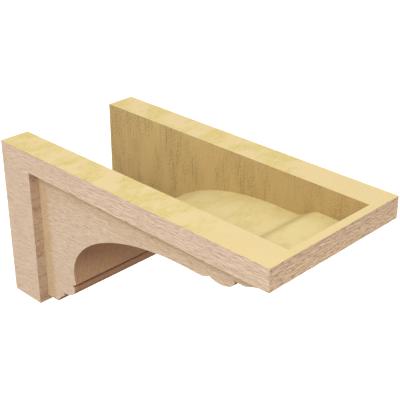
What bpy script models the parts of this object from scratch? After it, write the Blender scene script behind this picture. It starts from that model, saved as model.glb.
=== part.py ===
"""Corbel: a moulded bracket that stands out from a wall and carries a beam or a shelf.

It is one hollow moulding of foam with a painted woodgrain face. A post as wide as the whole
moulding stands against the wall, and a rail of the same width runs forward from its top. The
bracket core between them is set in from both cheeks. A half arch is cut under the core, with a
bead and a cove at its foot and an ovolo, a fillet and a cove at its nose. The hollow is open at
the top and at the back, where the raw foam shows.

Axes: X runs from side to side, the wall is the plane Y = 0 and the corbel stands out towards -Y,
and Z points up. The origin lies on the wall, midway along the back edge of the bottom wall.

Side profiles are drawn as (out, drop): how far out from the wall, and how far below the top.
"""

import math

import bmesh
import bpy
from mathutils import Vector

# Whole moulding
WIDTH = 0.2032
HEIGHT = 0.2032
PROJECTION = 0.4128

# Post, rail and the cheeks of the core between them
POST_DEPTH = 0.0508
RAIL_HEIGHT = 0.0260
CHEEK_RECESS = 0.0127

# Walls round the hollow
SIDE_WALL = 0.0381
FRONT_WALL = 0.0102
SHELL = 0.0102

# Foot of the core, from the post forward and up
FOOT_LIFT = 0.0068
FOOT_REACH = 0.0195
FOOT_COVE_RUN = 0.0140
FOOT_COVE_RISE = 0.0137
FOOT_COVE_SAG = 0.0012
FOOT_QUIRK = 0.0041
BEAD_REACH = 0.0218
BEAD_HALF_HEIGHT = 0.0127
BEAD_END = math.radians(-20)
GROOVE_RUN = 0.0033
GROOVE_RISE = 0.0004
LIP_RUN = 0.0077
LIP_RISE = 0.0044

# Arch
ARCH_FOOT_TURN = math.radians(9.5)
CROWN_FLAT = 0.0323

# Nose of the core, from the rail back and down
NOSE_SETBACK = 0.0152
NOSE_STEP = 0.0084
NOSE_COVE_RUN = 0.0244
NOSE_COVE_RISE = 0.0076
NOSE_COVE_SAG = 0.0007
NOSE_FILLET = 0.0099
QUIRK_WIDTH = 0.0030
QUIRK_DEPTH = 0.0023
QUIRK_RISE = 0.0006
OVOLO_REACH = 0.0203
OVOLO_HALF_HEIGHT = 0.0110
OVOLO_SINK = 0.0006
OVOLO_BACK = math.radians(133.4)
CHAMFER_RUN = 0.0091
CHAMFER_DROP = 0.0040

# How finely the curves are cut into flats
ARCH_STEPS = 56
BEAD_STEPS = 14
OVOLO_STEPS = 18
COVE_STEPS = 6

# How far the cutter of the hollow runs past the open top and back
OVERRUN = 0.0100

# Edges that bend by more than this stay sharp when the moulding is shaded smooth
SHARP_ANGLE = math.radians(24)

PAINT_COLOUR = (0.62, 0.47, 0.35)
PAINT_ROUGHNESS = 0.65

# Height of the top above the origin, which is in the middle of the bottom wall's back edge
TOP = HEIGHT - SHELL / 2


def ellipse_arc(centre, half_out, half_drop, start, end, steps):
    """Points on an ellipse. Angle 0 points away from the wall and 90 degrees points down."""
    angles = [start + (end - start) * i / steps for i in range(steps + 1)]
    return [centre + Vector((half_out * math.cos(a), half_drop * math.sin(a))) for a in angles]


def hollow_curve(start, end, sag, steps):
    """Points on a shallow hollow: a chord with a parabola of depth sag cut into the material."""
    along = end - start
    inward = Vector((along.y, -along.x)).normalized()
    shares = [i / steps for i in range(steps + 1)]
    return [start + along * s + inward * (4 * sag * s * (1 - s)) for s in shares]


def parallel(points, distance):
    """The same outline moved inward by a distance, with its corners mitred."""
    edges = [(b - a).normalized() for a, b in zip(points, points[1:])]
    inward = [Vector((e.y, -e.x)) for e in edges]
    before = [inward[0]] + inward
    after = inward + [inward[-1]]
    return [p + (m + n) * (distance / (1 + m.dot(n))) for p, m, n in zip(points, before, after)]


def prism(name, outline, width):
    """A solid with a side profile, as wide as given, centred on X = 0."""
    shape = bmesh.new()
    near = [shape.verts.new((-width / 2, -out, TOP - drop)) for out, drop in outline]
    side = shape.faces.new(near)
    swept = bmesh.ops.extrude_face_region(shape, geom=[side])
    moved = [v for v in swept["geom"] if isinstance(v, bmesh.types.BMVert)]
    bmesh.ops.translate(shape, verts=moved, vec=(width, 0, 0))
    bmesh.ops.recalc_face_normals(shape, faces=shape.faces)
    mesh = bpy.data.meshes.new(name)
    shape.to_mesh(mesh)
    shape.free()
    solid = bpy.data.objects.new(name, mesh)
    bpy.context.scene.collection.objects.link(solid)
    return solid


def combine(solid, tool, operation):
    """Join the tool to the solid or cut it out of it, and keep only the result."""
    boolean = solid.modifiers.new(tool.name, 'BOOLEAN')
    boolean.operation = operation
    boolean.solver = 'EXACT'
    boolean.object = tool
    depsgraph = bpy.context.evaluated_depsgraph_get()
    result = bpy.data.meshes.new_from_object(solid.evaluated_get(depsgraph))
    solid.modifiers.clear()
    solid.data = result
    bpy.data.objects.remove(tool)


def material(name, colour, roughness):
    """A plain finish, with no metal in it."""
    finish = bpy.data.materials.new(name)
    finish.use_nodes = True
    shader = finish.node_tree.nodes["Principled BSDF"]
    shader.inputs["Base Color"].default_value = (*colour, 1)
    shader.inputs["Roughness"].default_value = roughness
    shader.inputs["Metallic"].default_value = 0
    return finish


def foot_profile():
    """Foot of the core: cove, quirk, bead and groove, up to the lip of the arch."""
    tip = Vector((POST_DEPTH + FOOT_REACH, HEIGHT - FOOT_LIFT))
    cove_top = tip + Vector((FOOT_COVE_RUN, -FOOT_COVE_RISE))
    quirk_top = cove_top + Vector((0, -FOOT_QUIRK))
    bead_centre = quirk_top + Vector((0, -BEAD_HALF_HEIGHT))
    bead = ellipse_arc(bead_centre, BEAD_REACH, BEAD_HALF_HEIGHT, math.pi / 2, BEAD_END, BEAD_STEPS)
    groove = bead[-1] - Vector((GROOVE_RUN, GROOVE_RISE))
    lip = groove + Vector((LIP_RUN, -LIP_RISE))
    cove = hollow_curve(tip, cove_top, FOOT_COVE_SAG, COVE_STEPS)
    return {"tip": tip, "quirk": quirk_top, "groove": groove, "lip": lip,
            "points": cove + bead + [groove]}


def nose_profile():
    """Nose of the core: chamfer, ovolo, quirk, fillet and cove, up to the rail."""
    end = Vector((PROJECTION - NOSE_SETBACK, RAIL_HEIGHT))
    cove_front = end + Vector((0, NOSE_STEP))
    cove_back = cove_front + Vector((-NOSE_COVE_RUN, NOSE_COVE_RISE))
    fillet_back = cove_back - Vector((NOSE_FILLET, 0))
    ovolo_centre = fillet_back + Vector((-QUIRK_WIDTH - OVOLO_REACH, OVOLO_SINK))
    quirk = fillet_back - Vector((QUIRK_WIDTH + QUIRK_DEPTH, QUIRK_RISE))
    ovolo = ellipse_arc(ovolo_centre, OVOLO_REACH, OVOLO_HALF_HEIGHT, OVOLO_BACK, 0, OVOLO_STEPS)
    crown_end = ovolo[0] + Vector((-CHAMFER_RUN, CHAMFER_DROP))
    cove = hollow_curve(cove_back, cove_front, NOSE_COVE_SAG, COVE_STEPS)
    return {"end": end, "cove_back": cove_back, "crown_end": crown_end,
            "ovolo_top": Vector((ovolo_centre.x, cove_back.y)),
            "points": [crown_end] + ovolo + [quirk, fillet_back] + cove}


def arch_profile(lip, crown_end, start_turn):
    """Half arch from its lip to the crown: an ellipse that passes through both."""
    crown = crown_end - Vector((CROWN_FLAT, 0))
    half_span = (crown.x - lip.x) / math.cos(ARCH_FOOT_TURN)
    rise = (lip.y - crown.y) / (1 + math.sin(ARCH_FOOT_TURN))
    centre = crown + Vector((0, rise))
    return ellipse_arc(centre, half_span, rise, math.pi - start_turn, 1.5 * math.pi, ARCH_STEPS)


def core_outline(foot, nose):
    """Side profile of the bracket core. Its back and top edges lie deep in the post and rail."""
    arch = arch_profile(foot["lip"], nose["crown_end"], ARCH_FOOT_TURN)
    hidden = [Vector((nose["end"].x, RAIL_HEIGHT / 2)),
              Vector((POST_DEPTH / 2, RAIL_HEIGHT / 2)),
              Vector((POST_DEPTH / 2, foot["tip"].y))]
    return foot["points"] + arch + nose["points"] + hidden


def hollow_outline(foot, nose):
    """Side profile of the hollow: parallel to the outside, without its small mouldings."""
    arch = arch_profile(foot["lip"], nose["crown_end"], 0)
    broad_form = [Vector((0, HEIGHT)), Vector((POST_DEPTH, HEIGHT)),
                  Vector((POST_DEPTH, foot["tip"].y)), foot["tip"], foot["quirk"], foot["groove"]]
    broad_form += arch
    broad_form += [nose["crown_end"], nose["ovolo_top"], nose["cove_back"], nose["end"],
                   Vector((PROJECTION - FRONT_WALL, RAIL_HEIGHT))]
    inside = parallel(broad_form, SHELL)
    open_ends = [Vector((PROJECTION - FRONT_WALL, -OVERRUN)), Vector((-OVERRUN, -OVERRUN)),
                 Vector((-OVERRUN, HEIGHT - SHELL))]
    return inside + open_ends


def frame_outline():
    """Side profile of the post and the rail, an upside-down L."""
    return [Vector(corner) for corner in ((0, 0), (PROJECTION, 0), (PROJECTION, RAIL_HEIGHT),
                                          (POST_DEPTH, RAIL_HEIGHT), (POST_DEPTH, HEIGHT),
                                          (0, HEIGHT))]


def make_corbel():
    """The whole moulding, in one piece."""
    foot = foot_profile()
    nose = nose_profile()
    shell = prism("corbel_shell", frame_outline(), WIDTH)
    core = prism("core", core_outline(foot, nose), WIDTH - 2 * CHEEK_RECESS)
    combine(shell, core, 'UNION')
    hollow = prism("hollow", hollow_outline(foot, nose), WIDTH - 2 * SIDE_WALL)
    combine(shell, hollow, 'DIFFERENCE')
    shell.data.shade_smooth()
    shell.data.set_sharp_from_angle(angle=SHARP_ANGLE)
    shell.data.materials.append(material("painted_woodgrain", PAINT_COLOUR, PAINT_ROUGHNESS))
    return shell


for leftover in list(bpy.data.objects):
    bpy.data.objects.remove(leftover)
make_corbel()
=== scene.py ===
# %% [markdown]
# # A hollow corbel with a sawn woodgrain face
#
# This corbel is one casting of rigid foam. Its outside comes out of the mould with the grain of
# rough-sawn timber on it and is painted a pale tan. The top rim, the back rim and the hollow stay
# bare, so the yellow foam shows there.
#
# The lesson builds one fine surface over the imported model, then two finishes, and then the light
# and the camera. Everything is in metres. X runs from side to side, the wall is the plane Y = 0
# and Z points up.

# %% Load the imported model
import math

import bpy
import numpy as np
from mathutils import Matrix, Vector
from mathutils.geometry import delaunay_2d_cdt


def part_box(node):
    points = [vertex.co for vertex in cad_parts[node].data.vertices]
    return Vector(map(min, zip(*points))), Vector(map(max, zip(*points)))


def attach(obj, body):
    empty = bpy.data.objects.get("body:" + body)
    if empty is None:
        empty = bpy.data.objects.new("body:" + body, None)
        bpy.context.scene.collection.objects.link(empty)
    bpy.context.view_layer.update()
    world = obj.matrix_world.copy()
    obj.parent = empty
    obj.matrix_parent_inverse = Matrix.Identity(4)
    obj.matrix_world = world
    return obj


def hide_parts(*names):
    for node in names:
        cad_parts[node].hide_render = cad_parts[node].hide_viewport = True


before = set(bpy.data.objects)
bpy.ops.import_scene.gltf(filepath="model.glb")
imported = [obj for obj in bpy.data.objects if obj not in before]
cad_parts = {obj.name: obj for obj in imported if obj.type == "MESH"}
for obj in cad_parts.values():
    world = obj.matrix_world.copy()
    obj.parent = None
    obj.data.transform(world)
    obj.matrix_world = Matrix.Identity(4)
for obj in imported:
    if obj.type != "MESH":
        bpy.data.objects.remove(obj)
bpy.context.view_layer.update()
print("packed nodes:", sorted(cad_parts))

# %% [markdown]
# ## The driving sizes
#
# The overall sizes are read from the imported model, so the fine surface can't drift away from it.
# The walls and the mouldings repeat the sizes that the model was made with. A side profile is
# drawn as (out, drop): how far out from the wall, and how far below the top. Drawing it that way
# keeps every number positive, as on a workshop drawing.

# %% Sizes of the corbel
shell_low, shell_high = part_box("corbel_shell")
HALF_WIDTH = float(shell_high.x)
PROJECTION = float(-shell_low.y)
TOP = float(shell_high.z)
HEIGHT = float(shell_high.z - shell_low.z)

POST_DEPTH = 0.0508
RAIL_HEIGHT = 0.0260
CHEEK_RECESS = 0.0127
SIDE_WALL = 0.0381
FRONT_WALL = 0.0102
SHELL = 0.0102

HALF_CORE = HALF_WIDTH - CHEEK_RECESS
HALF_HOLLOW = HALF_WIDTH - SIDE_WALL
print(f"core {2000 * HALF_CORE:.1f} mm wide, hollow {2000 * HALF_HOLLOW:.1f} mm wide")

# %% [markdown]
# ## Side profiles
#
# Under the corbel runs a moulded profile: a foot with a small cove, a quirk and a bead, then half
# of an elliptical arch, and then an ovolo, a fillet and a cove at the nose. Such a profile could
# be drawn by hand point by point. Arcs with named sizes are better, because each moulding keeps
# its meaning and can be changed by itself.

# %% Curves that the profiles are made of
def ellipse_arc(centre, half_out, half_drop, start, end, steps):
    """Points on an ellipse: centre + (half_out cos a, half_drop sin a), with the angle a in even
    steps from start to end. Angle 0 points away from the wall and 90 degrees points down."""
    angle = np.linspace(start, end, steps + 1)
    return centre + np.column_stack([half_out * np.cos(angle), half_drop * np.sin(angle)])


def hollow_curve(start, end, sag, steps):
    """A shallow hollow: the chord from start to end plus its inward normal times the parabola
    4 sag s (1 - s), where s goes from 0 to 1 along the chord."""
    along = end - start
    inward = np.array([along[1], -along[0]]) / np.hypot(*along)
    s = np.linspace(0, 1, steps + 1)[:, None]
    return start + along * s + inward * (4 * sag * s * (1 - s))


# %% Foot of the core: cove, quirk, bead and groove
FOOT_REACH, FOOT_LIFT = 0.0195, 0.0068
FOOT_COVE_RUN, FOOT_COVE_RISE, FOOT_COVE_SAG = 0.0140, 0.0137, 0.0012
FOOT_QUIRK = 0.0041
BEAD_REACH, BEAD_HALF_HEIGHT = 0.0218, 0.0127
BEAD_END = math.radians(-20)
GROOVE_RUN, GROOVE_RISE = 0.0033, 0.0004
LIP_RUN, LIP_RISE = 0.0077, 0.0044
BEAD_STEPS = 18
COVE_STEPS = 8

foot_tip = np.array([POST_DEPTH + FOOT_REACH, HEIGHT - FOOT_LIFT])
foot_cove_top = foot_tip + (FOOT_COVE_RUN, -FOOT_COVE_RISE)
foot_cove = hollow_curve(foot_tip, foot_cove_top, FOOT_COVE_SAG, COVE_STEPS)
foot_quirk = foot_cove_top - (0, FOOT_QUIRK)
bead = ellipse_arc(foot_quirk - (0, BEAD_HALF_HEIGHT), BEAD_REACH, BEAD_HALF_HEIGHT,
                   math.radians(90), BEAD_END, BEAD_STEPS)
foot_groove = bead[-1] - (GROOVE_RUN, GROOVE_RISE)
arch_lip = foot_groove + (LIP_RUN, -LIP_RISE)
print("foot reaches", round(1000 * float(bead[:, 0].max()), 1), "mm out from the wall")

# %% Nose of the core: chamfer, ovolo, quirk, fillet and cove
NOSE_SETBACK, NOSE_STEP = 0.0152, 0.0084
NOSE_COVE_RUN, NOSE_COVE_RISE, NOSE_COVE_SAG = 0.0244, 0.0076, 0.0007
NOSE_FILLET = 0.0099
QUIRK_WIDTH, QUIRK_DEPTH, QUIRK_RISE = 0.0030, 0.0023, 0.0006
OVOLO_REACH, OVOLO_HALF_HEIGHT, OVOLO_SINK = 0.0203, 0.0110, 0.0006
OVOLO_BACK = math.radians(133.4)
CHAMFER_RUN, CHAMFER_DROP = 0.0091, 0.0040
OVOLO_STEPS = 24

nose_end = np.array([PROJECTION - NOSE_SETBACK, RAIL_HEIGHT])
nose_cove_front = nose_end + (0, NOSE_STEP)
nose_cove_back = nose_cove_front + (-NOSE_COVE_RUN, NOSE_COVE_RISE)
nose_cove = hollow_curve(nose_cove_back, nose_cove_front, NOSE_COVE_SAG, COVE_STEPS)
fillet_back = nose_cove_back - (NOSE_FILLET, 0)
nose_quirk = fillet_back - (QUIRK_WIDTH + QUIRK_DEPTH, QUIRK_RISE)
ovolo_centre = fillet_back + (-QUIRK_WIDTH - OVOLO_REACH, OVOLO_SINK)
ovolo = ellipse_arc(ovolo_centre, OVOLO_REACH, OVOLO_HALF_HEIGHT, OVOLO_BACK, 0, OVOLO_STEPS)
crown_end = ovolo[0] + (-CHAMFER_RUN, CHAMFER_DROP)
print("nose ends", round(1000 * (PROJECTION - float(nose_end[0])), 1), "mm behind the front")

# %% The half arch between them
ARCH_FOOT_TURN = math.radians(9.5)
CROWN_FLAT = 0.0323
ARCH_STEPS = 90


def arch_profile(start_turn):
    """Half an arch from its lip to its crown: the ellipse that passes through both, which starts
    turned by start_turn from the upright."""
    crown = crown_end - (CROWN_FLAT, 0)
    half_span = (crown[0] - arch_lip[0]) / math.cos(ARCH_FOOT_TURN)
    rise = (arch_lip[1] - crown[1]) / (1 + math.sin(ARCH_FOOT_TURN))
    return ellipse_arc(crown + (0, rise), half_span, rise,
                       math.pi - start_turn, 1.5 * math.pi, ARCH_STEPS)


underside = np.vstack([[(POST_DEPTH, foot_tip[1])], foot_cove, bead, [foot_groove],
                       arch_profile(ARCH_FOOT_TURN), [crown_end], ovolo,
                       [nose_quirk, fillet_back], nose_cove, [nose_end]])
print("underside profile:", len(underside), "points")

# %% [markdown]
# ## Profile of the hollow
#
# The casting has an even shell, so the floor of the hollow follows the underside without its small
# mouldings. A parallel curve gives that: each corner moves along the mean of its two edge normals,
# far enough to keep the distance to both edges. In the photo the floor's corners are a little
# soft, as foam leaves them, so the curve is then eased with a pass of averaging.

# %% Parallel curve and easing
ROUNDING = 1e-9   # a difference this small counts as none


def parallel(points, distance):
    """The same line moved inward: p + (m + n) distance / (1 + m . n), where m and n are the inward
    normals of the edges before and after p."""
    edges = np.diff(points, axis=0)
    edges /= np.hypot(edges[:, 0], edges[:, 1])[:, None]
    inward = np.column_stack([edges[:, 1], -edges[:, 0]])
    before = np.vstack([inward[:1], inward])
    after = np.vstack([inward, inward[-1:]])
    return points + (before + after) * (distance / (1 + (before * after).sum(1)))[:, None]


def refined(points, pitch):
    """The same line with stations added, so that no two are further apart than the pitch."""
    length = np.hypot(*np.diff(points, axis=0).T)
    count = np.maximum(1, np.ceil(length / pitch - ROUNDING).astype(int))
    first = np.repeat(np.arange(len(count)), count)
    share = (np.arange(count.sum()) - np.repeat(np.cumsum(count) - count, count)) / count[first]
    inner = points[first] + (points[first + 1] - points[first]) * share[:, None]
    return np.vstack([inner, points[-1:]])


def eased(points):
    """The same line with its inner corners softened: each becomes (before + 2 here + after) / 4."""
    middle = (points[:-2] + 2 * points[1:-1] + points[2:]) / 4
    return np.vstack([points[:1], middle, points[-1:]])


# %% The hollow's profile, from the top of the front wall down and back to the wall
FLOOR_PITCH = 0.0035

broad_form = np.vstack([[(0, HEIGHT), (POST_DEPTH, HEIGHT), (POST_DEPTH, foot_tip[1]), foot_tip,
                         foot_quirk, foot_groove], arch_profile(0),
                        [crown_end, (ovolo_centre[0], nose_cove_back[1]), nose_cove_back, nose_end,
                         (PROJECTION - FRONT_WALL, RAIL_HEIGHT)]])
floor_path = eased(refined(parallel(broad_form, SHELL)[::-1], FLOOR_PITCH))
front_wall = np.array([(PROJECTION - FRONT_WALL, 0), floor_path[0]])
floor_path = np.vstack([refined(front_wall, FLOOR_PITCH), floor_path[1:]])
print("hollow profile:", len(floor_path), "points")

# %% [markdown]
# ## Relief from smooth random numbers
#
# The grain of sawn timber is long, nearly straight and uneven. Smooth random numbers on a grid of
# cells give that when the cells are long along the grain and thin across it. A picture of wood
# could be wrapped on instead, but then the surface would stay flat. Here the relief is in the mesh:
# it catches the light and shows at the edges. It only ever cuts inward, so the corbel keeps its
# size.

# %% Smooth random numbers
TABLE_SIZE = 256


def smooth_random(along, across, cell, seed):
    """Numbers from 0 to 1 that vary smoothly: a random number at each corner of the cell that a
    point lies in, blended with the weight 3 t t - 2 t t t both ways. A cell is given by its length
    along the grain and across it."""
    table = np.random.default_rng(seed).random((TABLE_SIZE, TABLE_SIZE))
    a, b = along / cell[0], across / cell[1]
    i, j = np.floor(a).astype(int), np.floor(b).astype(int)
    s, t = a - i, b - j
    s, t = s * s * (3 - 2 * s), t * t * (3 - 2 * t)
    i, j, k, m = i % TABLE_SIZE, j % TABLE_SIZE, (i + 1) % TABLE_SIZE, (j + 1) % TABLE_SIZE
    low = table[i, j] * (1 - s) + table[k, j] * s
    high = table[i, m] * (1 - s) + table[k, m] * s
    return low * (1 - t) + high * t


def ramp(value, low, high):
    """0 below low, 1 above high, and a smooth step between."""
    share = np.clip((value - low) / (high - low), 0, 1)
    return share * share * (3 - 2 * share)


# %% Grain of rough-sawn timber
SLOW_SWAY_CELL = (0.070, 0.050)
QUICK_SWAY_CELL = (0.014, 0.008)
QUICK_SWAY_SHARE = 0.25
BAND_CELL = (0.048, 0.0040)
FIBRE_CELL = (0.013, 0.0016)
TEAR_CELL = (0.0085, 0.0014)
ROUGH_SPOT_CELL = (0.050, 0.018)
ROUGH_SPOT_RAMP = (0.30, 0.75)
TEAR_RAMP = (0.50, 0.90)
TORN_ANYWHERE = 0.30    # how much of the tearing there is outside the rough spots
BAND_DEPTH, FIBRE_DEPTH, CHECK_DEPTH = 0.24, 0.40, 0.65


def sawn_grain(along, across, seed, sway=0.0022, length=1.0):
    """Depths from 0 to 1: bands and fibres along the grain, and short torn checks in places. The
    lines sway to and fro by a slow random amount, and the length stretches them."""
    along = along / length
    line = across + sway * smooth_random(along, across, SLOW_SWAY_CELL, seed)
    line = line + QUICK_SWAY_SHARE * sway * smooth_random(along, across, QUICK_SWAY_CELL, seed + 5)
    bands = smooth_random(along, line, BAND_CELL, seed + 1)
    fibres = smooth_random(along, line, FIBRE_CELL, seed + 2)
    tears = ramp(smooth_random(along, line, TEAR_CELL, seed + 3), *TEAR_RAMP)
    rough = ramp(smooth_random(along, across, ROUGH_SPOT_CELL, seed + 4), *ROUGH_SPOT_RAMP)
    checks = tears * (TORN_ANYWHERE + (1 - TORN_ANYWHERE) * rough)
    return np.clip(BAND_DEPTH * bands + FIBRE_DEPTH * fibres + CHECK_DEPTH * checks, 0, 1)


# %% Plainer reliefs
BROAD_DRAG_CELL = (0.050, 0.0032)
FINE_DRAG_CELL = (0.030, 0.0016)
SWELL_CELL = (0.024, 0.015)
PIT_CELL = (0.0045, 0.0040)
PIT_RAMP = (0.72, 0.95)
SWELL_DEPTH, PIT_DEPTH = 0.6, 0.4


def drag_marks(along, across, seed):
    """Depths from 0 to 1: straight lines along the grain, the mean of a broader and a finer set."""
    broader = smooth_random(along, across, BROAD_DRAG_CELL, seed)
    finer = smooth_random(along, across, FINE_DRAG_CELL, seed + 1)
    return (broader + finer) / 2


def foam_skin(along, across, seed):
    """Depths from 0 to 1: low swellings with a few shallow pits."""
    swell = smooth_random(along, across, SWELL_CELL, seed)
    pits = ramp(smooth_random(along, across, PIT_CELL, seed + 1), *PIT_RAMP)
    return SWELL_DEPTH * swell + PIT_DEPTH * pits


# %% [markdown]
# ## Faces of the casting
#
# Each face is a patch: its plain points, the direction that its relief cuts in, the relief's depth
# and the way the grain runs. Neighbouring patches must share the very same points along their
# common edge, or the surface would leak. So every straight edge is divided by one function, which
# always counts from the lower corner to the higher one.

# %% Dividing the straight edges
PITCH = np.array([0.0017, 0.0040, 0.0008])   # between stations along X, along Y and along Z
COUNT_ROUNDING = 1e-6                        # a share of a station that isn't worth one more


def run(start, end):
    """Even stations from one corner (x, out, drop) to the next, without the last one."""
    axis = int(np.argmax(np.abs(np.subtract(end, start))))
    low, high = sorted((float(start[axis]), float(end[axis])))
    count = max(1, math.ceil((high - low) / PITCH[axis] - COUNT_ROUNDING))
    stations = low + (high - low) * np.arange(count + 1) / count
    stations[-1] = high
    points = np.tile(np.array(start, float), (count, 1))
    points[:, axis] = stations[:-1] if start[axis] < end[axis] else stations[:0:-1]
    return points


def outline(*corners):
    """The closed loop of stations round a face with straight edges."""
    return np.vstack([run(a, b) for a, b in zip(corners, corners[1:] + corners[:1])])


# %% [markdown]
# A flat face is a lattice of points inside its outline, joined up by a Delaunay triangulation. Two
# tests choose the points: they lie inside the outline, and not so near to it that they would make
# slivers with its stations.

# %% Which points lie in a face
CLEARANCE = 0.55   # how far the lattice keeps from the loop, in lattice steps
ROWS = 2000        # points looked at together


def inside(points, loop):
    """True for each point in the loop: a line upward from it crosses the loop an odd number of
    times."""
    a, b = loop, np.roll(loop, -1, axis=0)
    run_length = np.where(b[:, 0] == a[:, 0], 1, b[:, 0] - a[:, 0])
    result = np.zeros(len(points), bool)
    for rows in np.array_split(np.arange(len(points)), len(points) // ROWS + 1):
        p = points[rows][:, None]
        spans = (a[:, 0] > p[..., 0]) != (b[:, 0] > p[..., 0])
        height = a[:, 1] + (b[:, 1] - a[:, 1]) * (p[..., 0] - a[:, 0]) / run_length
        result[rows] = (spans & (height > p[..., 1])).sum(1) % 2 == 1
    return result


def clear_of(points, loop):
    """True for each point that is further than CLEARANCE from every edge of the loop."""
    edge = np.roll(loop, -1, axis=0) - loop
    square = (edge ** 2).sum(1)
    result = np.zeros(len(points), bool)
    for rows in np.array_split(np.arange(len(points)), len(points) // ROWS + 1):
        from_start = points[rows][:, None] - loop
        share = np.clip((from_start * edge).sum(2) / square, 0, 1)
        gap = from_start - share[..., None] * edge
        result[rows] = (gap ** 2).sum(2).min(1) > CLEARANCE ** 2
    return result


# %% Filling a flat face
SAME_POINT = 1e-6   # in lattice steps


def lattice_in(edge):
    """Evenly spaced points (u, v), about one lattice step apart, in the box round the edge."""
    low, high = edge.min(0), edge.max(0)
    count = np.ceil(high - low).astype(int)
    u = low[0] + (high[0] - low[0]) * (np.arange(count[0]) + 0.5) / count[0]
    v = low[1] + (high[1] - low[1]) * (np.arange(count[1]) + 0.5) / count[1]
    return np.stack(np.meshgrid(u, v, indexing="ij"), -1).reshape(-1, 2)


def filled(loop, steps):
    """Triangles for the flat face in a loop. The triangulation works in lattice steps, so that
    long cells stay long."""
    flat = [axis for axis in range(3) if np.ptp(loop[:, axis]) > ROUNDING]
    scale = np.array(steps, float)
    edge = loop[:, flat] / scale
    lattice = lattice_in(edge)
    lattice = lattice[inside(lattice, edge)]
    lattice = lattice[clear_of(lattice, edge)]
    every = np.vstack([edge, lattice])
    around = [(i, (i + 1) % len(edge)) for i in range(len(edge))]
    found = delaunay_2d_cdt([Vector(p) for p in every], around, [], 0, SAME_POINT, False)
    assert len(found[0]) == len(every), "the triangulation merged two points"
    triangles = np.array(found[2])
    triangles = triangles[inside(every[triangles].mean(1), edge)]
    points = np.empty((len(every), 3))
    points[:] = loop[0]
    points[:len(loop)] = loop
    points[len(loop):, flat] = lattice * scale
    return points, triangles


# %% [markdown]
# ## Collecting the patches
#
# A flat face takes its relief straight inward. A swept face, such as the underside or the floor of
# the hollow, is a grid: one parameter runs along the profile and the other across the width, and
# its relief follows the normal of the profile. Both kinds end up in the same list, as points,
# triangles, cuts, grain coordinates and marks. A mark is a mask for the finishes, such as where
# shade is painted into the colour.

# %% Patches
PAINTED, BARE = 0, 1
GRAIN_SHIFT = 1.37    # each face takes its grain from another stretch of the pattern
patches = []


def add_patch(points, triangles, outward, relief, grain, finish, marks):
    """Stores a patch. Triangles that face inward are turned round: their normal is the cross
    product of two edges, compared with the outward direction."""
    place = np.column_stack([points[:, 0], -points[:, 1], TOP - points[:, 2]])
    a, b, c = (place[triangles[:, k]] for k in range(3))
    facing = (np.cross(b - a, c - a) * outward[triangles[:, 0]]).sum(1)
    triangles = np.where(facing[:, None] < 0, triangles[:, ::-1], triangles)
    grain = grain + (GRAIN_SHIFT * len(patches), 0)
    depth = relief(*grain.T)
    patches.append({"place": place, "triangles": triangles, "cut": -outward * depth[:, None],
                    "grain": grain, "finish": finish,
                    "marks": {name: mark(points) for name, mark in marks.items()}})


def flat_face(loop, steps, outward, relief, along, across, finish, **marks):
    """A filled flat face. along and across are the axes of (x, out, drop) that the grain follows;
    relief is a function of the distances along and across the grain."""
    points, triangles = filled(loop, steps)
    outward = np.tile(np.array(outward, float), (len(points), 1))
    add_patch(points, triangles, outward, relief, points[:, (along, across)], finish, marks)


# %% Swept faces
def profile_normals(path, length):
    """The outward normal (out, drop) at each corner of a profile that is walked with the air on
    its right: the mean of the normals of its two edges."""
    edges = np.diff(path, axis=0)
    normal = np.column_stack([edges[:, 1], -edges[:, 0]]) / length[:, None]
    normal = np.vstack([normal[:1], normal[:-1] + normal[1:], normal[-1:]])
    return normal / np.hypot(*normal.T)[:, None]


def swept_face(path, half_width, relief, finish, grain_along_path=True, **marks):
    """A profile carried across the width: point (i, j) is (x_j, out_i, drop_i)."""
    x = np.append(run((-half_width, 0, 0), (half_width, 0, 0))[:, 0], half_width)
    rows, columns = len(path), len(x)
    points = np.column_stack([np.tile(x, rows), np.repeat(path, columns, axis=0)])
    corner = np.arange((rows - 1) * columns).reshape(rows - 1, columns)[:, :-1].ravel()
    one = np.column_stack([corner, corner + 1, corner + columns + 1])
    two = np.column_stack([corner, corner + columns + 1, corner + columns])
    length = np.hypot(*np.diff(path, axis=0).T)
    normal = np.column_stack([np.zeros(rows), profile_normals(path, length)])
    walked = np.repeat(np.append(0, np.cumsum(length)), columns)
    grain = (walked, points[:, 0]) if grain_along_path else (points[:, 0], walked)
    add_patch(points, np.vstack([one, two]), np.repeat(normal, columns, axis=0), relief,
              np.column_stack(grain), finish, marks)


# %% [markdown]
# ## The painted faces
#
# The sides, the recessed cheeks and the front carry the deepest grain. The strips in the corners,
# the underside and the bottom are plainer, as they are on the real casting, where the mould can't
# hold deep relief on faces that slide out of it.

# %% Depths of the grain in metres
SIDE_GRAIN = 0.00052
CHEEK_GRAIN = 0.00044
FRONT_GRAIN = 0.00050
RETURN_GRAIN = 0.00030
UNDERSIDE_GRAIN = 0.00022
FOAM_GRAIN = 0.00018
CALM_SHARE = 0.75                  # how deep the side grain is on the post, as a share
CALM_TO, ROUGH_FROM = 0.05, 0.17   # between these distances from the wall it deepens
FRONT_SWAY, FRONT_LENGTH = 0.0016, 0.8
SIDE_SEED, CHEEK_SEED, FRONT_SEED = 11, 21, 31
RETURN_SEED, UNDERSIDE_SEED, FOAM_SEED = 51, 61, 71


def side_relief(along, across):
    """The grain is shallower on the post and deepens along the rail. Patches shift their grain, so
    the shift is taken off again to get the distance from the wall."""
    out = along - GRAIN_SHIFT * len(patches)
    share = CALM_SHARE + (1 - CALM_SHARE) * ramp(out, CALM_TO, ROUGH_FROM)
    return SIDE_GRAIN * share * sawn_grain(along, across, SIDE_SEED)


def cheek_relief(along, across):
    """The same grain all over the cheek."""
    return CHEEK_GRAIN * sawn_grain(along, across, CHEEK_SEED)


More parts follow.
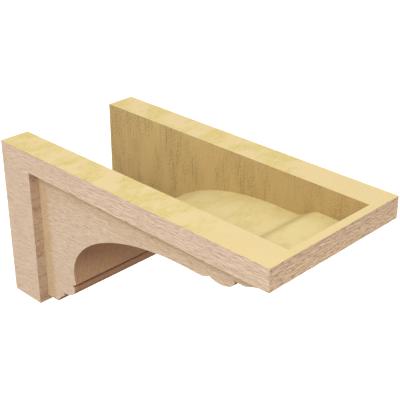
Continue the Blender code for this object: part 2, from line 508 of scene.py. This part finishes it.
def front_relief(along, across):
    """The front's grain is straighter, with shorter marks."""
    return FRONT_GRAIN * sawn_grain(along, across, FRONT_SEED, FRONT_SWAY, FRONT_LENGTH)


def return_relief(along, across):
    """Drag marks across the strips beside the post."""
    return RETURN_GRAIN * drag_marks(along, across, RETURN_SEED)


def underside_relief(along, across):
    """Drag marks along the profile of the underside."""
    return UNDERSIDE_GRAIN * drag_marks(along, across, UNDERSIDE_SEED)


def foam_relief(along, across):
    """The skin of the bare foam."""
    return FOAM_GRAIN * foam_skin(along, across, FOAM_SEED)


# %% [markdown]
# A yellowish shade is painted on the cheeks, as a band along the post and fading downward from
# the rail, and the paint is yellower and a little darker where the arch starts. The top edges blush
# pinker, and a brown painted shade covers the underside and is darkest in its quirks. Each of
# these could be a painted picture. A formula of the distance to an edge is shorter, and it stays
# in place on the part.

# %% Marks of the paint
RAIL_SHADE_REACH = 0.0120
BAND_SHADE = 0.52
BAND_TO, BAND_GONE = 0.0110, 0.0205
SHADE_LINE, SHADE_LINE_REACH = 0.16, 0.0020
LIP_TINT, LIP_TINT_REACH = 0.55, 0.022
BLUSH_REACH = 0.0060
CREVICE_REACH = 0.0024
FOOT_SHADE = 0.24


def corner_glaze(points):
    """Painted shade in the corners of the cheek. Under the rail it is 1 at the corner and less by a
    factor e for each RAIL_SHADE_REACH. Along the post it is an even band with a soft end, and a bell
    curve adds a darker line where the soft end begins."""
    from_post = points[:, 1] - POST_DEPTH
    band = BAND_SHADE * (1 - ramp(from_post, BAND_TO, BAND_GONE))
    shade_line = SHADE_LINE * np.exp(-((from_post - BAND_TO) / SHADE_LINE_REACH) ** 2)
    under_rail = np.exp(-np.maximum(points[:, 2] - RAIL_HEIGHT, 0) / RAIL_SHADE_REACH)
    return np.maximum(band + shade_line, under_rail)


# Makes the arch yellower and a little darker towards its lip.
def lip_glaze(points):
    """LIP_TINT where the arch starts at its lip, and less by a factor e for each LIP_TINT_REACH
    further up."""
    above = arch_lip[1] - points[:, 2]
    return np.where(above < 0, 0, LIP_TINT * np.exp(-above / LIP_TINT_REACH))


def top_blush(points):
    """1 along the top edge, and less by a factor e for each BLUSH_REACH."""
    return np.exp(-points[:, 2] / BLUSH_REACH)


# Painted shade: darkest in the groove and the quirks.
def crevices(points):
    """1 in the groove and the quirks, and less by a factor e for each CREVICE_REACH."""
    corners = np.array([foot_groove, foot_quirk, nose_quirk])
    gap = points[:, None, 1:] - corners
    return np.exp(-np.hypot(gap[..., 0], gap[..., 1]).min(1) / CREVICE_REACH)


# Painted shade: the underside is darker, and darker still on the foot's mouldings.
def underside_shade(points):
    """1 under the core, and FOOT_SHADE more on the mouldings of the foot, below the arch's lip."""
    return np.where(points[:, 2] > arch_lip[1], 1 + FOOT_SHADE, 1.0)


def all_over(points):
    """1 everywhere, for a mark that fills its face."""
    return np.ones(len(points))


# %% Sides, cheeks and front
X, OUT, DROP = 0, 1, 2
FORWARD, BACKWARD, DOWNWARD, UPWARD = (0, -1, 0), (0, 1, 0), (0, 0, -1), (0, 0, 1)
SIDE_LATTICE = (0.0030, 0.0008)      # lattice steps along the first axis of a face and the second
FRONT_LATTICE = (0.0017, 0.0008)

for side in (-1, 1):
    x = side * HALF_WIDTH
    face = outline((x, 0, 0), (x, PROJECTION, 0), (x, PROJECTION, RAIL_HEIGHT),
                   (x, POST_DEPTH, RAIL_HEIGHT), (x, POST_DEPTH, HEIGHT), (x, 0, HEIGHT))
    flat_face(face, SIDE_LATTICE, (side, 0, 0), side_relief, OUT, DROP, PAINTED, blush=top_blush)
    x = side * HALF_CORE
    straight = np.vstack([run((x, nose_end[0], RAIL_HEIGHT), (x, POST_DEPTH, RAIL_HEIGHT)),
                          run((x, POST_DEPTH, RAIL_HEIGHT), (x, POST_DEPTH, foot_tip[1]))])
    moulded = refined(underside, PITCH[1])[:-1]
    cheek = np.vstack([straight, np.column_stack([np.full(len(moulded), x), moulded])])
    flat_face(cheek, SIDE_LATTICE, (side, 0, 0), cheek_relief, OUT, DROP, PAINTED,
              glaze=corner_glaze)

front = outline((-HALF_WIDTH, PROJECTION, 0), (HALF_WIDTH, PROJECTION, 0),
                (HALF_WIDTH, PROJECTION, RAIL_HEIGHT), (-HALF_WIDTH, PROJECTION, RAIL_HEIGHT))
flat_face(front, FRONT_LATTICE, FORWARD, front_relief, X, DROP, PAINTED,
          rough=all_over, blush=top_blush)
print("patches so far:", len(patches), "triangles:", sum(len(p["triangles"]) for p in patches))

# %% Corner strips, underside and bottom
RETURN_LATTICE = (0.0030, 0.0010)
SOFFIT_LATTICE = (0.0017, 0.0040)
BOTTOM_LATTICE = (0.0030, 0.0020)

post_return = outline((-HALF_WIDTH, POST_DEPTH, RAIL_HEIGHT), (-HALF_WIDTH, POST_DEPTH, HEIGHT),
                      (HALF_WIDTH, POST_DEPTH, HEIGHT), (HALF_WIDTH, POST_DEPTH, RAIL_HEIGHT),
                      (HALF_CORE, POST_DEPTH, RAIL_HEIGHT), (HALF_CORE, POST_DEPTH, foot_tip[1]),
                      (-HALF_CORE, POST_DEPTH, foot_tip[1]), (-HALF_CORE, POST_DEPTH, RAIL_HEIGHT))
flat_face(post_return, RETURN_LATTICE, FORWARD, return_relief, X, DROP, PAINTED, hatch=all_over)

rail_soffit = outline((-HALF_WIDTH, POST_DEPTH, RAIL_HEIGHT), (-HALF_WIDTH, PROJECTION, RAIL_HEIGHT),
                      (HALF_WIDTH, PROJECTION, RAIL_HEIGHT), (HALF_WIDTH, POST_DEPTH, RAIL_HEIGHT),
                      (HALF_CORE, POST_DEPTH, RAIL_HEIGHT), (HALF_CORE, nose_end[0], RAIL_HEIGHT),
                      (-HALF_CORE, nose_end[0], RAIL_HEIGHT), (-HALF_CORE, POST_DEPTH, RAIL_HEIGHT))
flat_face(rail_soffit, SOFFIT_LATTICE, DOWNWARD, underside_relief, OUT, X, PAINTED, under=all_over)

bottom = outline((-HALF_WIDTH, 0, HEIGHT), (HALF_WIDTH, 0, HEIGHT),
                 (HALF_WIDTH, POST_DEPTH, HEIGHT), (-HALF_WIDTH, POST_DEPTH, HEIGHT))
flat_face(bottom, BOTTOM_LATTICE, DOWNWARD, underside_relief, X, OUT, PAINTED, under=all_over)

swept_face(refined(underside, PITCH[1]), HALF_CORE, underside_relief, PAINTED,
           under=underside_shade, crevice=crevices, glaze=lip_glaze)
print("patches so far:", len(patches), "triangles:", sum(len(p["triangles"]) for p in patches))

# %% [markdown]
# ## The bare foam
#
# The top rim is where the casting was struck off level, and the back rim is where it stands
# against the wall. The hollow's walls and floor show the foam as it set. All of them get shallow
# swellings and pits. Most of their look comes later, from the colour, and the marks say where: the
# rim is clean towards the front and golden along its outer edges, painted shade darkens the
# hollow's walls towards the nose, and a line of painted shade crosses its floor.

# %% Marks of the foam
EDGE_LINE = 0.0004
CLEAN_FROM, CLEAN_TO = 0.29, 0.34
NOSE_SHADE_FROM, NOSE_SHADE_TO = 0.03, 0.36
VALLEY_BEYOND_CROWN = 0.007
VALLEY_REACH = 0.006


def struck_edge(points):
    """1 on the outer edges of the top rim and 0 inside them. The mesh spreads that over a narrow
    line."""
    gap = np.minimum(HALF_WIDTH - np.abs(points[:, 0]), PROJECTION - points[:, 1])
    return (gap < EDGE_LINE).astype(float)


def clean_front(points):
    """The rim is scratched near the wall and clean towards the front: a smooth step."""
    return ramp(points[:, 1], CLEAN_FROM, CLEAN_TO)


def browned(points):
    """Painted shade on the walls of the hollow, darker towards the nose: a smooth step."""
    return ramp(points[:, 1], NOSE_SHADE_FROM, NOSE_SHADE_TO)


def valley(points):
    """A line of painted shade across the floor, on the slope up to the nose: the bell curve
    exp(-t t), where t is the distance from the slope's middle as a share of VALLEY_REACH."""
    t = (points[:, 1] - crown_end[0] - VALLEY_BEYOND_CROWN) / VALLEY_REACH
    return np.exp(-t * t)


# %% Rims and hollow
FOAM_LATTICE = (0.0030, 0.0030)

top_rim = outline((-HALF_WIDTH, 0, 0), (-HALF_WIDTH, PROJECTION, 0), (HALF_WIDTH, PROJECTION, 0),
                  (HALF_WIDTH, 0, 0), (HALF_HOLLOW, 0, 0), (HALF_HOLLOW, PROJECTION - FRONT_WALL, 0),
                  (-HALF_HOLLOW, PROJECTION - FRONT_WALL, 0), (-HALF_HOLLOW, 0, 0))
flat_face(top_rim, FOAM_LATTICE, UPWARD, foam_relief, X, OUT, BARE,
          edge=struck_edge, clean=clean_front)

back_rim = outline((-HALF_WIDTH, 0, 0), (-HALF_WIDTH, 0, HEIGHT), (HALF_WIDTH, 0, HEIGHT),
                   (HALF_WIDTH, 0, 0), (HALF_HOLLOW, 0, 0), (HALF_HOLLOW, 0, HEIGHT - SHELL),
                   (-HALF_HOLLOW, 0, HEIGHT - SHELL), (-HALF_HOLLOW, 0, 0))
flat_face(back_rim, FOAM_LATTICE, BACKWARD, foam_relief, X, DROP, BARE)

for side in (-1, 1):
    x = side * HALF_HOLLOW
    wall = np.vstack([run((x, 0, 0), (x, PROJECTION - FRONT_WALL, 0)),
                      np.column_stack([np.full(len(floor_path), x), floor_path])[:-1],
                      run((x, 0, HEIGHT - SHELL), (x, 0, 0))])
    flat_face(wall, FOAM_LATTICE, (-side, 0, 0), foam_relief, DROP, OUT, BARE,
              skin=all_over, brown=browned)

swept_face(floor_path, HALF_HOLLOW, foam_relief, BARE, grain_along_path=False,
           floor=all_over, valley=valley)
print("patches:", len(patches), "triangles:", sum(len(p["triangles"]) for p in patches))

# %% [markdown]
# ## Welding the patches into one closed surface
#
# Points of different patches that share a place become one vertex. Where two faces meet, that
# vertex is cut inward by both reliefs at once, so the grain runs out over the edge and the surface
# stays closed. A closed surface has each of its edges in exactly two triangles, in opposite
# directions, and the cell counts that.

# %% Weld
WELD = 1e-7
start = np.cumsum([0] + [len(p["place"]) for p in patches])
place = np.vstack([p["place"] for p in patches])
corners = np.vstack([p["triangles"] + s for p, s in zip(patches, start)])
cut = np.vstack([p["cut"] for p in patches])
_, first, vertex_of = np.unique(np.round(place / WELD).astype(np.int64), axis=0,
                                return_index=True, return_inverse=True)
vertex_of = vertex_of.ravel()
plain = place[first]
shift = np.zeros_like(plain)
np.add.at(shift, vertex_of, cut)
faces = vertex_of[corners]
ways = np.vstack([faces[:, [0, 1]], faces[:, [1, 2]], faces[:, [2, 0]]])
there = np.unique(ways[:, 0] * len(plain) + ways[:, 1])
back = np.unique(ways[:, 1] * len(plain) + ways[:, 0])
print(len(plain), "vertices,", len(faces), "triangles, closed:",
      len(there) == len(ways) and np.array_equal(there, back))

# %% [markdown]
# The edges that stay sharp are found on the plain form, before the relief goes on, because a deep
# groove would otherwise count as a sharp edge. Then the vertices move to their places in the
# relief. The marks are kept on the corners of the triangles, for the finishes to read, and so are
# the depth of the relief and a map of the grain.

# %% The mesh of the corbel
SHARP_ANGLE = math.radians(24)
body_mesh = bpy.data.meshes.new("corbel_body")
body_mesh.from_pydata(plain.tolist(), [], faces.tolist())
body_mesh.shade_smooth()
body_mesh.set_sharp_from_angle(angle=SHARP_ANGLE)
body_mesh.vertices.foreach_set("co", (plain + shift).astype(np.float32).ravel())
finish = np.concatenate([np.full(len(p["triangles"]), p["finish"]) for p in patches])
body_mesh.polygons.foreach_set("material_index", finish.astype(np.int32))
body_mesh.update()
corbel_body = bpy.data.objects.new("corbel_body", body_mesh)
bpy.context.scene.collection.objects.link(corbel_body)


# %% Its marks and its grain map
def corner_mark(name, values):
    """Stores one number for each corner of each triangle."""
    layer = body_mesh.attributes.new(name, 'FLOAT', 'CORNER')
    layer.data.foreach_set("value", values[corners.ravel()].astype(np.float32))


depth = np.hypot(np.hypot(cut[:, 0], cut[:, 1]), cut[:, 2])
corner_mark("relief", depth / SIDE_GRAIN)
for name in ("glaze", "blush", "hatch", "rough", "under", "crevice",
             "edge", "clean", "floor", "valley", "skin", "brown"):
    given = [p["marks"].get(name, np.zeros(len(p["place"]))) for p in patches]
    corner_mark(name, np.concatenate(given))
grain_map = body_mesh.uv_layers.new(name="grain_map")
grain_of = np.vstack([p["grain"] for p in patches])
grain_map.uv.foreach_set("vector", grain_of[corners.ravel()].astype(np.float32).ravel())
print("relief up to", round(1000 * float(depth.max()), 2), "mm deep")

# %% [markdown]
# ## Building blocks for the finishes
#
# Both finishes need streaks that run along the grain and soft blotches. One node group gives both,
# made once and placed many times with its own values. The grain map gives metres along and across
# the grain on every face, so a streak keeps its true size everywhere.

# %% Node helpers
def feed(tree, socket, value):
    """Links a socket to another one, or sets its value."""
    if isinstance(value, bpy.types.NodeSocket):
        tree.links.new(value, socket)
    else:
        socket.default_value = value


def add_node(tree, kind, **inputs):
    """Adds a node and feeds the inputs of those names."""
    node = tree.nodes.new(kind)
    for name, value in inputs.items():
        feed(tree, node.inputs[name.replace("_", " ")], value)
    return node


def math_node(tree, operation, a, b):
    """One operation of arithmetic on two numbers or masks."""
    node = tree.nodes.new("ShaderNodeMath")
    node.operation = operation
    feed(tree, node.inputs[0], a)
    feed(tree, node.inputs[1], b)
    return node.outputs[0]


def times(tree, a, b):
    """The product of two numbers or masks."""
    return math_node(tree, 'MULTIPLY', a, b)


def plus(tree, a, b):
    """The sum of two numbers or masks."""
    return math_node(tree, 'ADD', a, b)


def weighted(tree, *parts):
    """The sum of masks, each times its weight. The parts are pairs of a mask and a weight."""
    total = times(tree, *parts[0])
    for mask, weight in parts[1:]:
        total = plus(tree, total, times(tree, mask, weight))
    return total


# %% Colours and how they mix
MIX_FACTOR, MIX_FIRST, MIX_SECOND, MIX_RESULT = 0, 6, 7, 2   # the Mix node's sockets for colours


def linear(red, green, blue):
    """A colour as read from a screen, 0 to 255, as the light values that shaders use, by the
    standard curve of screens."""
    share = np.array([red, green, blue]) / 255
    light = np.where(share <= 0.04045, share / 12.92, ((share + 0.055) / 1.055) ** 2.4)
    return (*light.tolist(), 1)


def blend(tree, mask, first, second):
    """The first colour where the mask is 0 and the second where it is 1."""
    node = tree.nodes.new("ShaderNodeMix")
    node.data_type = 'RGBA'
    feed(tree, node.inputs[MIX_FACTOR], mask)
    feed(tree, node.inputs[MIX_FIRST], first)
    feed(tree, node.inputs[MIX_SECOND], second)
    return node.outputs[MIX_RESULT]


def tinted(tree, colour, mask, share, paint):
    """The colour, moved towards a paint by the share where the mask is 1."""
    return blend(tree, times(tree, mask, share), colour, paint)


# %% Node group: streaks
WANDERS_PER_METRE = 60.0
NOISE_MIDDLE = 0.5
NOISE_ROUGHNESS = 0.6


def make_streaks():
    """Stretched noise as a mask. Along and Across are streaks per metre, Sway is how far in metres
    they wander to and fro, and the mask rises from 0 to 1 as the noise goes from Low to High."""
    group = bpy.data.node_groups.new("grain streaks", "ShaderNodeTree")
    group.interface.new_socket("Place", in_out='INPUT', socket_type='NodeSocketVector')
    for name in ("Along", "Across", "Sway", "Detail", "Low", "High"):
        group.interface.new_socket(name, in_out='INPUT', socket_type='NodeSocketFloat')
    group.interface.new_socket("Mask", in_out='OUTPUT', socket_type='NodeSocketFloat')
    given = group.nodes.new("NodeGroupInput").outputs
    wander = add_node(group, "ShaderNodeTexNoise", Vector=given["Place"],
                      Scale=WANDERS_PER_METRE, Detail=1.0)
    aside = math_node(group, 'SUBTRACT', wander.outputs["Fac"], NOISE_MIDDLE)
    aside = add_node(group, "ShaderNodeCombineXYZ", Y=times(group, aside, given["Sway"]))
    moved = group.nodes.new("ShaderNodeVectorMath")
    group.links.new(given["Place"], moved.inputs[0])
    group.links.new(aside.outputs[0], moved.inputs[1])
    stretch = add_node(group, "ShaderNodeCombineXYZ", X=given["Along"], Y=given["Across"], Z=1.0)
    scaled = group.nodes.new("ShaderNodeVectorMath")
    scaled.operation = 'MULTIPLY'
    group.links.new(moved.outputs[0], scaled.inputs[0])
    group.links.new(stretch.outputs[0], scaled.inputs[1])
    noise = add_node(group, "ShaderNodeTexNoise", Vector=scaled.outputs[0], Scale=1.0,
                     Detail=given["Detail"], Roughness=NOISE_ROUGHNESS)
    mask = add_node(group, "ShaderNodeMapRange", Value=noise.outputs["Fac"],
                    From_Min=given["Low"], From_Max=given["High"])
    out = group.nodes.new("NodeGroupOutput")
    group.links.new(mask.outputs["Result"], out.inputs["Mask"])
    return group


streaks_group = make_streaks()
print("streaks group:", len(streaks_group.nodes), "nodes")


# %% Starting a finish
def streaks(tree, place, along, across, detail, low, high, sway=0.0):
    """Places the streaks group in a material and gives its mask."""
    node = tree.nodes.new("ShaderNodeGroup")
    node.node_tree = streaks_group
    values = {"Place": place, "Along": along, "Across": across, "Sway": sway, "Detail": detail,
              "Low": low, "High": high}
    for name, value in values.items():
        feed(tree, node.inputs[name], value)
    return node.outputs["Mask"]


def new_finish(name, roughness):
    """A finish without metal: the material, its nodes, its shader and its grain map."""
    made = bpy.data.materials.new(name)
    made.use_nodes = True
    tree = made.node_tree
    shader = tree.nodes["Principled BSDF"]
    shader.inputs["Roughness"].default_value = roughness
    shader.inputs["Metallic"].default_value = 0
    grain = tree.nodes.new("ShaderNodeUVMap")
    grain.uv_map = "grain_map"
    return made, tree, shader, grain.outputs["UV"]


def mark_of(tree, name):
    """The mask that a mark on the mesh gives."""
    node = tree.nodes.new("ShaderNodeAttribute")
    node.attribute_name = name
    return node.outputs["Fac"]


# %% [markdown]
# ## Painted woodgrain
#
# The paint is a pale tan, lighter on the ridges of the grain and darker in its grooves. Streaks of
# three sizes vary it, the front is warmer and the top edges blush pinker. Torn spots and short
# dashes hold a dark wash, with more of it on the front. Over that go a yellowish painted shade in
# the corners, the same yellow on the arch near its lip, a brown painted shade on the underside and
# the darkest painted shade in the quirks, each by its mark. Last come hatch marks in bands on the
# strips beside the post, over a painted shade that darkens the whole strip.

# %% Painted finish: the tone of the wood
PAINT_ROUGHNESS = 0.72
PAINT_LIGHT = linear(231, 211, 185)
PAINT_MID = linear(210, 186, 159)
PAINT_DARK = linear(126, 94, 70)
FRONT_WARMTH = linear(242, 213, 175)
BLUSH = linear(220, 189, 174)

painted, tree, shader, grain = new_finish("painted_woodgrain", PAINT_ROUGHNESS)
relief, rough = mark_of(tree, "relief"), mark_of(tree, "rough")
fine = streaks(tree, grain, along=72, across=600, detail=3, low=0.40, high=0.62, sway=0.002)
broad = streaks(tree, grain, along=25, across=170, detail=2, low=0.35, high=0.68, sway=0.003)
cloudy = streaks(tree, grain, along=14, across=26, detail=2, low=0.35, high=0.70)
tone = weighted(tree, (fine, 0.40), (broad, 0.25), (cloudy, 0.15), (relief, 0.35))
colour = blend(tree, tone, PAINT_LIGHT, PAINT_MID)
colour = tinted(tree, colour, rough, share=0.75, paint=FRONT_WARMTH)
colour = tinted(tree, colour, mark_of(tree, "blush"), share=0.55, paint=BLUSH)

# %% Dark wash in torn spots and dashes
TORN_WASH, TORN_WASH_FRONT = 0.24, 0.10   # the share of dark paint, and how much more at the front
DASH_WASH, DASH_WASH_FRONT = 0.05, 0.38

torn = streaks(tree, grain, along=120, across=620, detail=4, low=0.54, high=0.68, sway=0.002)
dashes = streaks(tree, grain, along=130, across=900, detail=2, low=0.53, high=0.64)
torn_share = plus(tree, times(tree, rough, TORN_WASH_FRONT), TORN_WASH)
dash_share = plus(tree, times(tree, rough, DASH_WASH_FRONT), DASH_WASH)
colour = tinted(tree, colour, torn, share=torn_share, paint=PAINT_DARK)
colour = tinted(tree, colour, dashes, share=dash_share, paint=PAINT_DARK)

# %% Painted shade in the corners and underneath, and a yellower arch lip
# Painted shade: the yellowish colour in the cheek corners, the brown one under the core and the
# darkest one in the quirks. The yellowish colour also tints the arch near its lip.
SHADE_AND_LIP_TINT = linear(197, 161, 93)
UNDERSIDE_SHADE = linear(161, 104, 52)
CREVICE_SHADE = linear(84, 56, 40)

colour = tinted(tree, colour, mark_of(tree, "glaze"), share=0.74, paint=SHADE_AND_LIP_TINT)
colour = tinted(tree, colour, mark_of(tree, "under"), share=0.56, paint=UNDERSIDE_SHADE)
colour = tinted(tree, colour, mark_of(tree, "crevice"), share=0.80, paint=CREVICE_SHADE)

# %% Hatch marks and painted shade on the strips beside the post
# The hatch colour is also painted shade: a share of it darkens the whole strip.
HATCH_AND_SHADE = linear(153, 107, 60)
SHADE_BETWEEN = 0.27   # the share of painted shade between the bands

bands = streaks(tree, grain, along=8, across=50, detail=2, low=0.42, high=0.58)
lines = streaks(tree, grain, along=120, across=820, detail=2, low=0.44, high=0.60)
ticks = streaks(tree, grain, along=620, across=170, detail=2, low=0.46, high=0.60)
strokes = weighted(tree, (lines, 0.38), (ticks, 0.26))
marks = plus(tree, times(tree, bands, strokes), SHADE_BETWEEN)
colour = blend(tree, times(tree, marks, mark_of(tree, "hatch")), colour, HATCH_AND_SHADE)
tree.links.new(colour, shader.inputs["Base Color"])

# %% [markdown]
# The finest fibres would be wasteful as mesh, so a bump gives them. It rises with the fine streaks
# and dips where the paint is torn, so that light and colour agree.

# %% Finest fibres as a bump
FIBRE_STRENGTH, FIBRE_BUMP = 0.9, 0.0007

fibre = streaks(tree, grain, along=260, across=1300, detail=3, low=0.30, high=0.75, sway=0.006)
height = weighted(tree, (fine, 0.55), (fibre, 0.25), (torn, -0.60), (dashes, -0.12))
bump = add_node(tree, "ShaderNodeBump", Strength=FIBRE_STRENGTH, Distance=FIBRE_BUMP, Height=height)
tree.links.new(bump.outputs["Normal"], shader.inputs["Normal"])
print("painted finish:", len(tree.nodes), "nodes")

# %% [markdown]
# ## Bare foam
#
# The foam is a pale straw yellow. Where it rubbed on the mould it is more golden and scratched, in
# patches that run across the rim and fade out towards its clean front. The floor of the hollow has
# fewer of them. The hollow's walls have a darker skin with drag marks and dots that run down them.

# %% Foam finish: rim and floor
FOAM_ROUGHNESS = 0.85
FOAM_PALE = linear(211, 189, 138)
FOAM_GOLD = linear(206, 187, 110)
FOAM_DARK = linear(150, 124, 46)
FLOOR_PALE = linear(212, 195, 138)
VALLEY_SHADE = linear(172, 152, 90)
EDGE_GOLD = linear(210, 193, 108)
FEWER_WHERE_CLEAN, FEWER_ON_FLOOR = 0.85, 0.45
WORN_ANYWHERE = 0.10    # how much of the scratching there is outside the patches

bare, tree, shader, grain = new_finish("bare_foam", FOAM_ROUGHNESS)
on_floor = mark_of(tree, "floor")
fewer = weighted(tree, (mark_of(tree, "clean"), FEWER_WHERE_CLEAN), (on_floor, FEWER_ON_FLOOR))
patchy = times(tree, math_node(tree, 'SUBTRACT', 1.0, fewer),
               streaks(tree, grain, along=20, across=32, detail=4, low=0.45, high=0.56))
colour = tinted(tree, FOAM_PALE, on_floor, share=0.75, paint=FLOOR_PALE)
# Painted shade in a line across the floor.
colour = tinted(tree, colour, mark_of(tree, "valley"), share=0.50, paint=VALLEY_SHADE)
colour = tinted(tree, colour, patchy, share=0.55, paint=FOAM_GOLD)
colour = tinted(tree, colour, mark_of(tree, "edge"), share=0.40, paint=EDGE_GOLD)
scratch = streaks(tree, grain, along=80, across=620, detail=4, low=0.48, high=0.62, sway=0.002)
speckle = streaks(tree, grain, along=480, across=700, detail=3, low=0.50, high=0.64)
worn = weighted(tree, (scratch, 0.30), (speckle, 0.20))
colour = blend(tree, times(tree, plus(tree, patchy, WORN_ANYWHERE), worn), colour, FOAM_DARK)

# %% Darker skin on the walls of the hollow, with painted shade towards the nose
SKIN_PALE = linear(196, 169, 112)
SKIN_SHADED = linear(178, 150, 96)
SKIN_DARK = linear(112, 90, 50)
DARK_ANYWHERE = 0.30    # how much of the dark marking there is outside the clouds

clouds = streaks(tree, grain, along=12, across=36, detail=4, low=0.42, high=0.60)
drag = streaks(tree, grain, along=30, across=520, detail=4, low=0.48, high=0.66, sway=0.001)
dots = streaks(tree, grain, along=520, across=900, detail=3, low=0.50, high=0.62)
dark = times(tree, plus(tree, clouds, DARK_ANYWHERE), weighted(tree, (drag, 0.32), (dots, 0.54)))
# Painted shade: the walls darken towards the nose.
skin = blend(tree, mark_of(tree, "brown"), SKIN_PALE, SKIN_SHADED)
skin = blend(tree, dark, skin, SKIN_DARK)
colour = blend(tree, mark_of(tree, "skin"), colour, skin)
tree.links.new(colour, shader.inputs["Base Color"])

# %% Pores of the foam as a bump
PORE_STRENGTH, PORE_BUMP = 0.4, 0.0003

pores = streaks(tree, grain, along=500, across=700, detail=3, low=0.35, high=0.75)
bump = add_node(tree, "ShaderNodeBump", Strength=PORE_STRENGTH, Distance=PORE_BUMP, Height=pores)
tree.links.new(bump.outputs["Normal"], shader.inputs["Normal"])
print("foam finish:", len(tree.nodes), "nodes")

# %% Put the finished casting in place of the plain solid
body_mesh.materials.append(painted)
body_mesh.materials.append(bare)
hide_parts("corbel_shell")
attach(corbel_body, "root")

# %% [markdown]
# ## Floor and light
#
# The photo shows the corbel alone on white, with very soft light from above and from the left.
# A sky that fades from bright to dim in one direction gives that without hard shadows, and one
# large soft lamp brings out the grain. From below comes a dim brown light, which gives the arch
# its warm shade. The camera itself sees plain white there. The floor lies well below, as it would
# under a corbel on a wall, and it is pale enough to read as white.

# %% Floor
FLOOR_DROP = 1.30
FLOOR_HALF = 12.0
FLOOR_COLOUR = (0.95, 0.95, 0.95, 1)
FLOOR_ROUGHNESS = 1.0
FLOOR_GLOW, FLOOR_GLOW_STRENGTH = (1, 1, 1, 1), 0.5

floor_corners = [(a * FLOOR_HALF, b * FLOOR_HALF, -FLOOR_DROP)
                 for a, b in ((-1, -1), (1, -1), (1, 1), (-1, 1))]
floor_mesh = bpy.data.meshes.new("studio_floor")
floor_mesh.from_pydata(floor_corners, [], [(0, 1, 2, 3)])
floor = bpy.data.objects.new("studio_floor", floor_mesh)
bpy.context.scene.collection.objects.link(floor)
floor_paint = bpy.data.materials.new("pale_floor")
floor_paint.use_nodes = True
floor_shader = floor_paint.node_tree.nodes["Principled BSDF"]
floor_shader.inputs["Base Color"].default_value = FLOOR_COLOUR
floor_shader.inputs["Roughness"].default_value = FLOOR_ROUGHNESS
floor_shader.inputs["Emission Color"].default_value = FLOOR_GLOW
floor_shader.inputs["Emission Strength"].default_value = FLOOR_GLOW_STRENGTH
floor_mesh.materials.append(floor_paint)
floor.visible_diffuse = False
floor.visible_glossy = False
print("floor", FLOOR_DROP, "m below the origin")

# %% Soft sky
SKY_TOWARDS = Vector((-0.62, -0.30, 0.72)).normalized()
SKY_NEAR = (1.20, 1.20, 1.20, 1)
SKY_FAR = (0.62, 0.62, 0.62, 1)
GROUND = (0.33, 0.215, 0.158, 1)
BACKDROP = (1.0, 1.0, 1.0, 1)
HORIZON_BLUR = 0.10

world = bpy.data.worlds.new("soft_sky")
bpy.context.scene.world = world
world.use_nodes = True
sky = world.node_tree
direction = sky.nodes.new("ShaderNodeTexCoord").outputs["Generated"]
facing = sky.nodes.new("ShaderNodeVectorMath")
facing.operation = 'DOT_PRODUCT'
facing.inputs[1].default_value = SKY_TOWARDS
sky.links.new(direction, facing.inputs[0])
share = add_node(sky, "ShaderNodeMapRange", Value=facing.outputs["Value"],
                 From_Min=-1.0, From_Max=1.0)
upper = blend(sky, share.outputs["Result"], SKY_FAR, SKY_NEAR)
height = add_node(sky, "ShaderNodeSeparateXYZ", Vector=direction).outputs["Z"]
above = add_node(sky, "ShaderNodeMapRange", Value=height,
                 From_Min=-HORIZON_BLUR, From_Max=HORIZON_BLUR)
sky_colour = blend(sky, above.outputs["Result"], GROUND, upper)
seen = sky.nodes.new("ShaderNodeLightPath").outputs["Is Camera Ray"]
sky_colour = blend(sky, seen, sky_colour, BACKDROP)
sky.links.new(sky_colour, sky.nodes["Background"].inputs["Color"])
print("sky:", len(sky.nodes), "nodes")

# %% One large soft lamp
LAMP_PLACE = Vector((-1.6, -0.9, 1.5))
LAMP_TARGET = Vector((0, -0.2, 0.1))
LAMP_SIZE = 0.8
LAMP_POWER = 22

lamp_data = bpy.data.lights.new("soft_lamp", 'AREA')
lamp_data.shape = 'DISK'
lamp_data.size = LAMP_SIZE
lamp_data.energy = LAMP_POWER
lamp = bpy.data.objects.new("soft_lamp", lamp_data)
lamp.location = LAMP_PLACE
lamp.rotation_mode = 'QUATERNION'
lamp.rotation_quaternion = (LAMP_TARGET - LAMP_PLACE).to_track_quat('-Z', 'Y')
bpy.context.scene.collection.objects.link(lamp)
print(f"lamp {(LAMP_TARGET - LAMP_PLACE).length:.2f} m from the corbel")

# %% [markdown]
# ## Camera
#
# The camera stands where thirteen corners of the corbel line up with the photo: in front of it, to
# the left and above, looking down by 27 degrees.

# %% Camera
CAMERA_PLACE = Vector((-0.63780, -0.85487, 0.61723))
CAMERA_TARGET = Vector((-0.25809, -0.48057, 0.34711))
CAMERA_SENSOR = 36.0
CAMERA_LENS = 82.24

camera_data = bpy.data.cameras.new("camera")
camera_data.sensor_width = CAMERA_SENSOR
camera_data.lens = CAMERA_LENS
camera = bpy.data.objects.new("camera", camera_data)
camera.location = CAMERA_PLACE
camera.rotation_mode = 'QUATERNION'
camera.rotation_quaternion = (CAMERA_TARGET - CAMERA_PLACE).to_track_quat('-Z', 'Y')
bpy.context.scene.collection.objects.link(camera)
bpy.context.scene.camera = camera
bpy.context.scene.view_settings.view_transform = 'Standard'
print(f"camera {CAMERA_PLACE.z - TOP:.2f} m above the top of the corbel")
